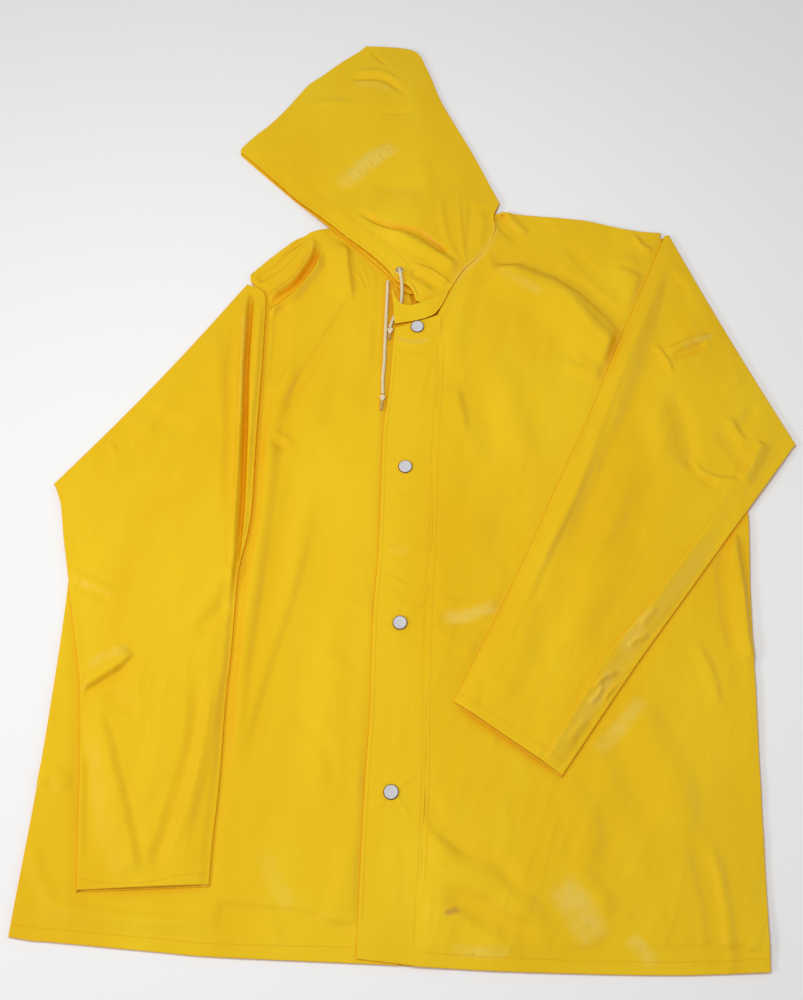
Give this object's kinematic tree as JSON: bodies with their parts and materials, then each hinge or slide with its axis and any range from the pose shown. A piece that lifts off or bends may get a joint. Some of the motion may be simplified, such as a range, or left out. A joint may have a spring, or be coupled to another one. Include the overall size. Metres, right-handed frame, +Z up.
{
  "type": "hooded raincoat",
  "caption": "Yellow coated-cloth raincoat with hood, front band with snaps and a hood cord, laid flat on its back with both sleeves folded over the front.",
  "frame": {"origin": "on the surface the coat lies on, under the middle of its footprint", "axes": "+X to the wearer's left, +Y from the hem to the hood, +Z up, away from the surface; the front faces up"},
  "size_m": [0.784, 1.0718, 0.014],
  "materials": {
    "coated_cloth": "cotton or polyester cloth with a satin yellow waterproof coating, creased",
    "snap_cap": "pale grey moulded snap cap, satin gloss",
    "eyelet_metal": "nickel-plated brass, polished",
    "hood_cord": "braided cream cotton cord"
  },
  "bodies": {
    "root": {"back_panel": "coated_cloth", "front_right": "coated_cloth", "front_left": "coated_cloth", "front_band": "coated_cloth", "sleeve_right": "coated_cloth", "sleeve_left": "coated_cloth", "hood_right": "coated_cloth", "hood_left": "coated_cloth", "hood_corner": "coated_cloth", "snap_1": "snap_cap", "snap_2": "snap_cap", "snap_3": "snap_cap", "snap_4": "snap_cap", "eyelet": "eyelet_metal", "cord_upper": "hood_cord", "cord_lower": "hood_cord", "knot_upper": "hood_cord", "knot_lower": "hood_cord"}
  },
  "joints": []
}
